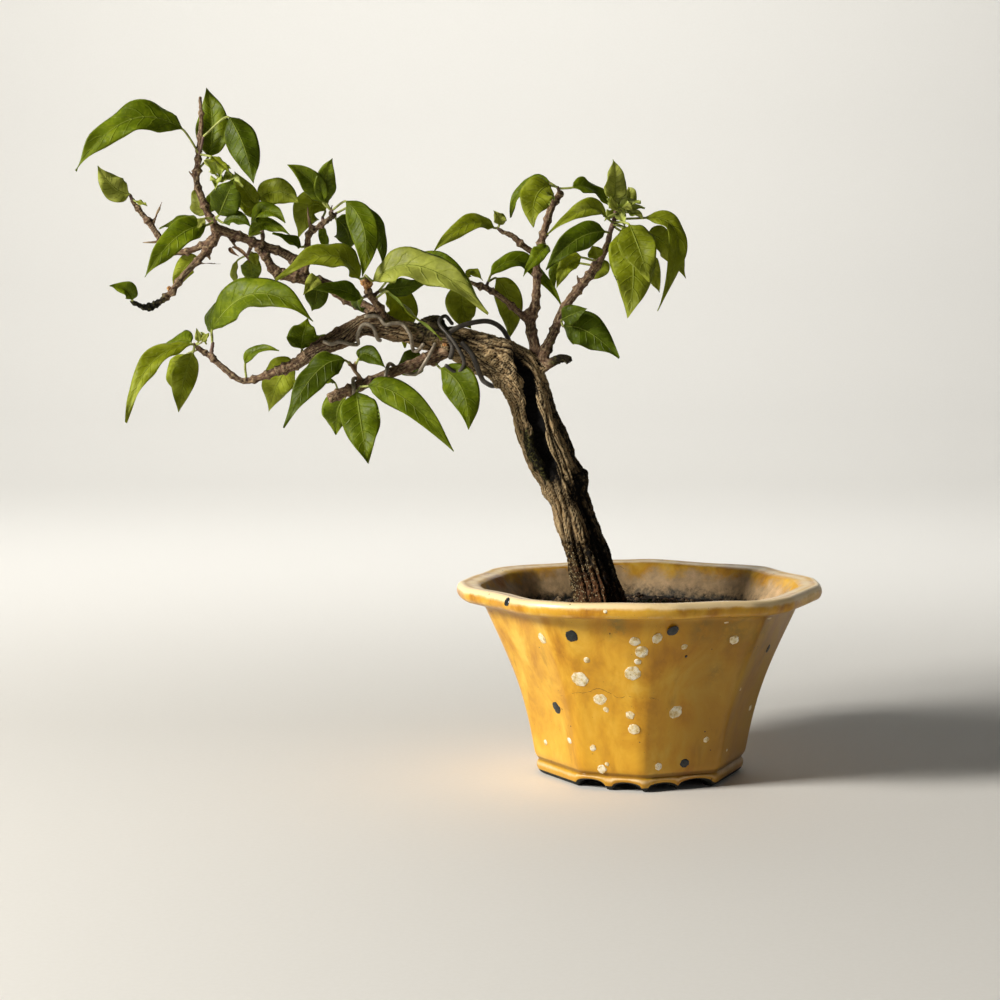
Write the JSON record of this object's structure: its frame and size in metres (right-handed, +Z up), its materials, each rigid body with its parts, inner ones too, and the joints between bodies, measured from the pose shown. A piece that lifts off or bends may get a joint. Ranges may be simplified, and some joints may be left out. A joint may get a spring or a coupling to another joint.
{
  "type": "bougainvillea bonsai in a pot",
  "caption": "Leaning bougainvillea bonsai with wired branches and leafy sprays, growing in a soft-cornered octagonal glazed pot of soil.",
  "frame": {"origin": "on the surface the pot stands on, under the middle of the whole plant's box", "axes": "+Z up, -Y towards the front face of the plant, -X the way the trunk leans, +X towards the pot"},
  "size_m": [0.3234, 0.1598, 0.3007],
  "materials": {
    "glazed_pot": "gloss",
    "soil": "matt",
    "bark": "matt",
    "leaf": "satin",
    "wire": "satin"
  },
  "bodies": {
    "root": {"pot": "glazed_pot", "soil": "soil", "wood": "bark", "wire_trunk": "wire", "wire_loop": "wire", "wire_main": "wire", "wire_outer": "wire", "wire_lower": "wire", "spray_top": "leaf", "spray_tip": "leaf", "spray_far_upper": "leaf", "spray_far_lower": "leaf", "spray_knuckle": "leaf", "spray_knuckle_back": "leaf", "spray_droop": "leaf", "spray_crown": "leaf", "spray_under": "leaf", "spray_thorn": "leaf", "spray_thorn_back": "leaf", "spray_round": "leaf", "spray_cross": "leaf", "spray_bud": "leaf", "spray_bud_back": "leaf", "spray_blade": "leaf", "spray_spur_left": "leaf", "spray_behind": "leaf", "spray_young": "leaf", "spray_outer": "leaf", "spray_outer_back": "leaf", "spray_great": "leaf", "spray_small": "leaf", "spray_mid": "leaf", "spray_inner": "leaf", "spray_twig": "leaf", "spray_twig_right": "leaf", "spray_below": "leaf", "spray_stub": "leaf", "spray_bright": "leaf", "spray_shade": "leaf", "spray_hang": "leaf", "spray_right_tip": "leaf", "spray_right_high": "leaf", "spray_right_mid": "leaf", "spray_right_low": "leaf", "spray_right_end": "leaf", "spray_cluster": "leaf", "spray_fork": "leaf", "spray_fork_back": "leaf", "spray_low_right": "leaf"}
  },
  "joints": []
}
